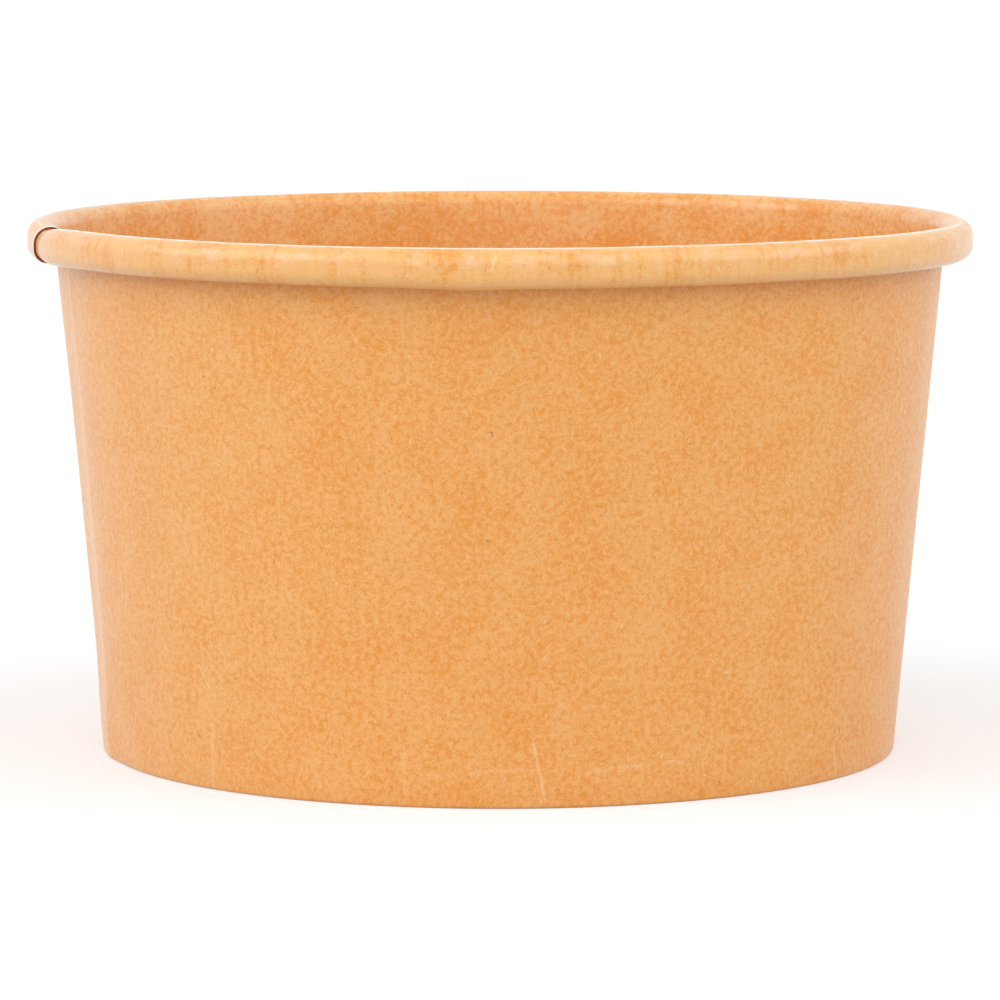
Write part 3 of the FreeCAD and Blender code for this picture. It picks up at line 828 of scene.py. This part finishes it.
def food_marks(seam, colours):
    """A painted highlight along the lip of the inner cut edge over the roll, a painted reflection
    on the raised layer beside it, scuffs, and strokes of deeper colour.

    Each point is a turn in degrees and a run up the wall and over the roll in millimetres.
    """
    light, deep = colours.fleck_and_sheen, colours.food_deep
    cut = math.degrees(seam) - 0.12
    listed = [
        # Painted reflection on the raised layer beside the seam, and a painted highlight along the
        # lip of the cut edge.
        ([(cut - 1.6, 53.2), (cut - 1.6, 60.0)], 1.9, colours.painted_sheen, 0.42),
        ([(cut, 53.4), (cut, 60.0)], 0.44, colours.painted_glint, 0.90),
        ([(269.4, 56.2), (269.2, 57.8)], 0.22, light, 0.45),
        ([(260.0, 57.0), (261.0, 57.2)], 0.60, light, 0.30),
        ([(281.3, 57.0), (282.8, 57.0)], 0.50, light, 0.35),
        ([(92.4, 53.0), (92.2, 51.4)], 0.26, deep, 0.95),
        ([(90.2, 53.0), (89.9, 51.3)], 0.30, deep, 0.95),
        ([(85.7, 53.4), (85.9, 51.4)], 0.26, deep, 0.85),
        ([(98.9, 52.2), (97.0, 50.3)], 0.30, deep, 0.95),
        ([(92.1, 50.8), (89.6, 50.7)], 0.26, deep, 0.95),
        ([(25.2, 53.2), (25.5, 51.4)], 0.24, deep, 0.80),
        ([(26.4, 52.3), (26.1, 51.3)], 0.20, deep, 0.80),
    ]
    return placed(seam, listed)


class PAPERTUB_OT_side_wall(bpy.types.Operator):
    """Wrap the blank into the side wall, with its rolled rim, glued lap and folded foot"""

    bl_idname = "papertub.side_wall"
    bl_label = "Wrap the Side Wall"

    def execute(self, context):
        sizes, colours = context.scene.papertub_sizes, context.scene.papertub_colours
        seam = sizes.seam_turn
        lap_start = (math.tau - CLIMB_END) * UNROLL_RADIUS / MM
        finishes = [
            make_board_finish("Coated kraft, wall", colours.food_pale, colours.food_deep, colours,
                              food_marks(seam, colours), COATED, roll_start=ROLL_START,
                              seed=400.0),
            make_board_finish("Bare kraft, wall", colours.outside_pale, colours.outside_deep,
                              colours, outside_marks(seam, colours), lap_start=lap_start),
            make_edge_finish(colours.cut_edge_and_gap_shade),
        ]
        piece = make_side_wall(sizes, finishes)
        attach(piece, "root")
        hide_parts("side_wall")
        return {"FINISHED"}


class PAPERTUB_OT_bottom_disc(bpy.types.Operator):
    """Press the bottom disc, with its skirt turned down into the folded foot"""

    bl_idname = "papertub.bottom_disc"
    bl_label = "Press the Bottom Disc"

    def execute(self, context):
        sizes, colours = context.scene.papertub_sizes, context.scene.papertub_colours
        finishes = [
            make_board_finish("Coated kraft, disc", colours.food_pale, colours.food_deep, colours,
                              side=COATED, seed=150.0),
            make_board_finish("Bare kraft, disc", colours.outside_pale, colours.outside_deep,
                              colours, seed=250.0),
            make_edge_finish(colours.cut_edge_and_gap_shade),
        ]
        piece = make_bottom_disc(sizes, finishes)
        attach(piece, "root")
        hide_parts("bottom_disc")
        return {"FINISHED"}


def make_floor(reach):
    """A wide pale table. It looks almost white, and throws less light than it shows."""
    finish = Finish("Pale table")
    path = finish.add("ShaderNodeLightPath").outputs
    seen = finish.sum("MAXIMUM", finish.sum("MAXIMUM", path["Is Camera Ray"],
                                            path["Is Glossy Ray"]), path["Is Transmission Ray"])
    colour = finish.blend(seen, (0.60, 0.60, 0.60, 1.0), (0.97, 0.985, 1.0, 1.0))
    shader = finish.add("ShaderNodeBsdfDiffuse", {}, {"Color": colour})
    glow = finish.add("ShaderNodeEmission", {}, {"Strength": 1.0})
    mixed = finish.add("ShaderNodeMixShader", {}, {
        0: finish.sum("MULTIPLY", seen, 0.4), 1: shader.outputs[0], 2: glow.outputs[0]})
    finish.add("ShaderNodeOutputMaterial", {}, {"Surface": mixed.outputs[0]})
    mesh = bpy.data.meshes.new("studio_floor")
    mesh.from_pydata([(-reach, -reach, 0.0), (reach, -reach, 0.0), (reach, reach, 0.0),
                      (-reach, reach, 0.0)], [], [(0, 1, 2, 3)])
    mesh.materials.append(finish.material)
    floor = bpy.data.objects.new("studio_floor", mesh)
    bpy.context.scene.collection.objects.link(floor)


def make_sky(scene, strength):
    """An even pale sky, white wherever the camera or a reflection sees it."""
    scene.world = bpy.data.worlds.new("Studio sky")
    scene.world.use_nodes = True
    tree = scene.world.node_tree
    tree.nodes.clear()
    path = tree.nodes.new("ShaderNodeLightPath")
    seen = tree.nodes.new("ShaderNodeMath")
    seen.operation = "MAXIMUM"
    tree.links.new(path.outputs["Is Camera Ray"], seen.inputs[0])
    tree.links.new(path.outputs["Is Glossy Ray"], seen.inputs[1])
    lit = tree.nodes.new("ShaderNodeMapRange")
    tree.links.new(seen.outputs[0], lit.inputs["Value"])
    lit.inputs["To Min"].default_value = strength
    lit.inputs["To Max"].default_value = 1.0
    sky = tree.nodes.new("ShaderNodeBackground")
    sky.inputs["Color"].default_value = (1.0, 1.0, 1.0, 1.0)
    tree.links.new(lit.outputs[0], sky.inputs["Strength"])
    output = tree.nodes.new("ShaderNodeOutputWorld")
    tree.links.new(sky.outputs[0], output.inputs["Surface"])


def add_lamp(name, strength, spread, bearing, height):
    """A soft far lamp. The bearing is turned from the viewer towards +X, in degrees."""
    light = bpy.data.lights.new(name, "SUN")
    light.energy = strength
    light.angle = math.radians(spread)
    lamp = bpy.data.objects.new(name, light)
    lamp.rotation_euler = (math.radians(90.0 - height), 0.0, math.radians(bearing))
    bpy.context.scene.collection.objects.link(lamp)


class PAPERTUB_OT_stage(bpy.types.Operator):
    """Lay the pale floor, hang the soft lamps and set the camera"""

    bl_idname = "papertub.stage"
    bl_label = "Set the Stage"

    def execute(self, context):
        scene = context.scene
        studio = scene.papertub_studio
        make_floor(studio.floor_reach)
        make_sky(scene, studio.sky_strength)
        for name, strength, spread, bearing, height in LAMPS:
            add_lamp(name, getattr(studio, strength), spread, bearing, height)

        view = bpy.data.cameras.new("Photo camera")
        view.lens = studio.lens
        view.sensor_width = 36.0
        view.clip_start = 0.01
        view.clip_end = 200.0
        camera = bpy.data.objects.new("Photo camera", view)
        camera.location = (0.0, -studio.camera_distance, studio.camera_height)
        camera.rotation_euler = (math.pi / 2 - studio.camera_pitch, 0.0, 0.0)
        scene.collection.objects.link(camera)
        scene.camera = camera
        scene.view_settings.view_transform = "Standard"
        return {"FINISHED"}


class PAPERTUB_PT_tub(bpy.types.Panel):
    """Sizes, colours and steps of the paper tub"""

    bl_idname = "PAPERTUB_PT_tub"
    bl_label = "Paper Tub"
    bl_space_type = "VIEW_3D"
    bl_region_type = "UI"
    bl_category = "Paper Tub"

    def draw(self, context):
        layout = self.layout
        for title, group in (("Board", context.scene.papertub_sizes),
                             ("Colours", context.scene.papertub_colours),
                             ("Studio", context.scene.papertub_studio)):
            box = layout.box()
            box.label(text=title)
            for name in group.__annotations__:
                box.prop(group, name)
        for operator in OPERATORS:
            layout.operator(operator.bl_idname)


GROUPS = {"papertub_sizes": TubSizes, "papertub_colours": KraftColours,
          "papertub_studio": StudioSizes}
OPERATORS = (PAPERTUB_OT_side_wall, PAPERTUB_OT_bottom_disc, PAPERTUB_OT_stage)


def register():
    for name, group in GROUPS.items():
        bpy.utils.register_class(group)
        setattr(bpy.types.Scene, name, PointerProperty(type=group))
    for operator in OPERATORS:
        bpy.utils.register_class(operator)
    bpy.utils.register_class(PAPERTUB_PT_tub)


def unregister():
    bpy.utils.unregister_class(PAPERTUB_PT_tub)
    for operator in reversed(OPERATORS):
        bpy.utils.unregister_class(operator)
    for name, group in reversed(GROUPS.items()):
        delattr(bpy.types.Scene, name)
        bpy.utils.unregister_class(group)


def main():
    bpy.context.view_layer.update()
    register()
    bpy.ops.papertub.side_wall()
    bpy.ops.papertub.bottom_disc()
    bpy.ops.papertub.stage()


if __name__ == "__main__":
    main()
